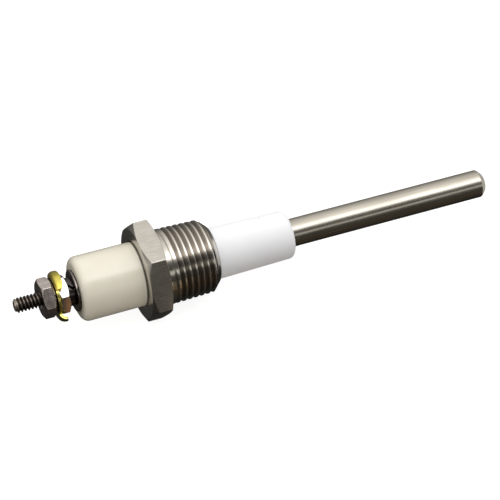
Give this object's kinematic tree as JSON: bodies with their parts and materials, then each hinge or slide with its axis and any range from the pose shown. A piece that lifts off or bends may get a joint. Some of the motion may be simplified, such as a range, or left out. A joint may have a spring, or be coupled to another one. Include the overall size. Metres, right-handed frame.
{
  "type": "flame sensor probe",
  "caption": "Flame sensing rod held through two ceramic insulators in a hexagonal gland with tapered pipe thread, with a threaded stud, nuts and brass wire cup as its terminal.",
  "frame": {"origin": "on the probe's axis, in the plane of the hexagon's face on the thread side, where the pipe thread's neck begins", "axes": "+X along the probe's axis towards the tip of the sensing rod, +Z square to a wrench flat of the hexagon, +Y to the left of +X seen from above"},
  "size_m": [0.1121, 0.0238, 0.0206],
  "materials": {
    "gland_steel": "turned and polished plated steel, finely brushed",
    "rod_alloy": "bare heat-resisting alloy, brushed lengthwise",
    "stem_steel": "dark rolled thread",
    "nut_steel": "satin steel with a faint purple tint",
    "nut_plate": "bright plated steel",
    "dark_washer": "dark glossy steel",
    "brass_sheet": "pressed bright brass sheet",
    "cream_glaze": "cream glazed ceramic",
    "white_ceramic": "white unglazed ceramic",
    "gasket": "dark graphite sheet"
  },
  "bodies": {
    "root": {"gland_body": "gland_steel", "upper_gasket": "gasket", "outer_insulator": "cream_glaze", "lower_gasket": "gasket", "inner_insulator": "white_ceramic", "rod_gasket": "gasket", "centre_stem": "stem_steel", "sensing_rod": "rod_alloy", "head_gasket": "gasket", "flat_washer": "dark_washer", "lock_washer": "dark_washer", "clamp_nut": "nut_plate"},
    "wire_cup": {"wire_cup_washer": "brass_sheet"},
    "terminal": {"terminal_nut": "nut_steel"}
  },
  "joints": [
    {"name": "cup_slide", "type": "slide", "parent": "root", "child": "wire_cup", "axis": [-1, 0, 0], "range_m": [0, 0.00556]},
    {"name": "nut_turn", "type": "hinge", "parent": "wire_cup", "child": "terminal", "pos_m": [-0.0259, 0, 0], "axis": [-1, 0, 0], "range_deg": [0, 2520]}
  ],
  "couplings": [
    {"joint": "nut_turn", "follows": "cup_slide", "rad_per_m": 7915.8}
  ]
}
